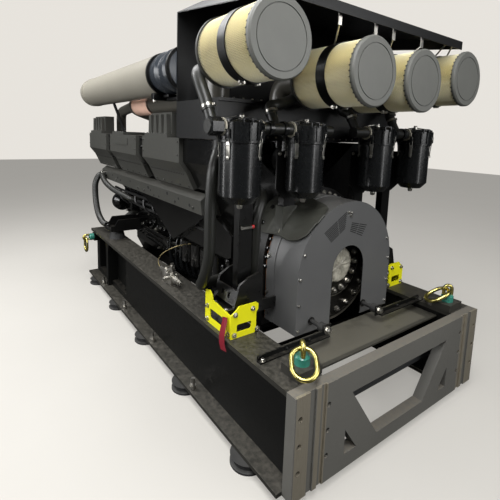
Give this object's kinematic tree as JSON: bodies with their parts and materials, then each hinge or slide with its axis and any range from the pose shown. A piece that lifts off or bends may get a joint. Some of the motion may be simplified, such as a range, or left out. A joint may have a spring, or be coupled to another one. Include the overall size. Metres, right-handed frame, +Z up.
{
  "type": "diesel engine module of a rotary uninterruptible power supply",
  "caption": "V engine module on a box-beam base frame with air filters, breather canisters, coupling guard and swinging lifting links.",
  "frame": {"origin": "on the floor under the middle of the module", "axes": "+X towards the coupling end, +Z up, +Y to the right seen from the coupling end"},
  "size_m": [3.5609, 1.9198, 2.48],
  "materials": {
    "frame_paint": "satin warm dark grey paint",
    "engine_black": "gloss black paint",
    "engine_grey": "satin grey paint on castings",
    "guard_grey": "satin grey paint on sheet steel",
    "gloss_black": "gloss black paint",
    "rubber": "moulded rubber",
    "plated_steel": "zinc plated",
    "machined_steel": "machined steel",
    "teal_paint": "teal paint",
    "yellow_plating": "yellow chromate plating",
    "yellow_paint": "bright yellow paint",
    "filter_paper": "pleated paper under wire mesh",
    "filter_cap": "moulded polyurethane",
    "band_black": "black band",
    "pipe_grey": "satin grey paint on tube",
    "hose_rubber": "smooth hose rubber",
    "silicone": "silicone hose"
  },
  "bodies": {
    "base": {"air_manifold": "engine_black", "bank_covers_left": "engine_grey", "bank_covers_right": "engine_grey", "beam_left": "frame_paint", "beam_right": "frame_paint", "breather_bodies": "gloss_black", "breather_hoses": "hose_rubber", "breather_lids": "gloss_black", "breather_pipes": "gloss_black", "breather_posts": "engine_black", "cable_cleat_bar": "plated_steel", "cover_towers": "engine_grey", "crank_damper": "engine_black", "cross_members": "frame_paint", "deck_plate": "frame_paint", "deck_rail": "frame_paint", "end_frame": "frame_paint", "engine_block": "engine_black", "engine_mounts": "engine_black", "far_beam": "frame_paint", "filter_bands": "band_black", "filter_caps": "filter_cap", "filter_elements": "filter_paper", "filter_hangers": "plated_steel", "filter_outlets": "pipe_grey", "flywheel_housing": "guard_grey", "gear_case": "engine_black", "guard_buffers": "plated_steel", "guard_front": "guard_grey", "guard_wrap": "guard_grey", "hood_bulkhead": "gloss_black", "hood_lip": "gloss_black", "hood_roof": "gloss_black", "inner_pipes": "pipe_grey", "ledge_flanges": "frame_paint", "ledge_studs": "plated_steel", "lifting_blocks": "frame_paint", "lifting_cups": "teal_paint", "lifting_eyes": "yellow_plating", "long_pipes": "pipe_grey", "mount_rubbers": "rubber", "oil_pan": "engine_black", "pipe_bellows": "hose_rubber", "pipe_struts": "engine_black", "plenum_box": "engine_black", "rocker_covers": "engine_black", "rubber_feet": "rubber", "side_coolers": "engine_black", "side_hoses": "hose_rubber", "side_pipework": "engine_black", "side_rails": "engine_grey", "silicone_hoses": "silicone", "top_flanges": "frame_paint", "transport_brackets": "yellow_paint", "valve_block": "machined_steel"},
    "coupling": {"coupling_rotor": "machined_steel"},
    "link_near_left": {"link_near_left": "yellow_plating"},
    "link_near_right": {"link_near_right": "yellow_plating"},
    "link_far_left": {"link_far_left": "yellow_plating"},
    "link_far_right": {"link_far_right": "yellow_plating"}
  },
  "joints": [
    {"name": "coupling_spin", "type": "hinge", "parent": "base", "child": "coupling", "pos_m": [1.2, 0, 0.85], "axis": [1, 0, 0], "continuous": true},
    {"name": "link_near_left_swing", "type": "hinge", "parent": "base", "child": "link_near_left", "pos_m": [1.65, -0.655, 0.679], "axis": [-0.5878, -0.809, 0], "range_deg": [0, 240]},
    {"name": "link_near_right_swing", "type": "hinge", "parent": "base", "child": "link_near_right", "pos_m": [1.65, 0.655, 0.679], "axis": [-0.809, 0.5878, 0], "range_deg": [0, 240]},
    {"name": "link_far_left_swing", "type": "hinge", "parent": "base", "child": "link_far_left", "pos_m": [-1.54, -0.879, 0.47], "axis": [-1, 0, 0], "range_deg": [-35, 180]},
    {"name": "link_far_right_swing", "type": "hinge", "parent": "base", "child": "link_far_right", "pos_m": [-1.54, 0.879, 0.47], "axis": [1, 0, 0], "range_deg": [-35, 180]}
  ]
}
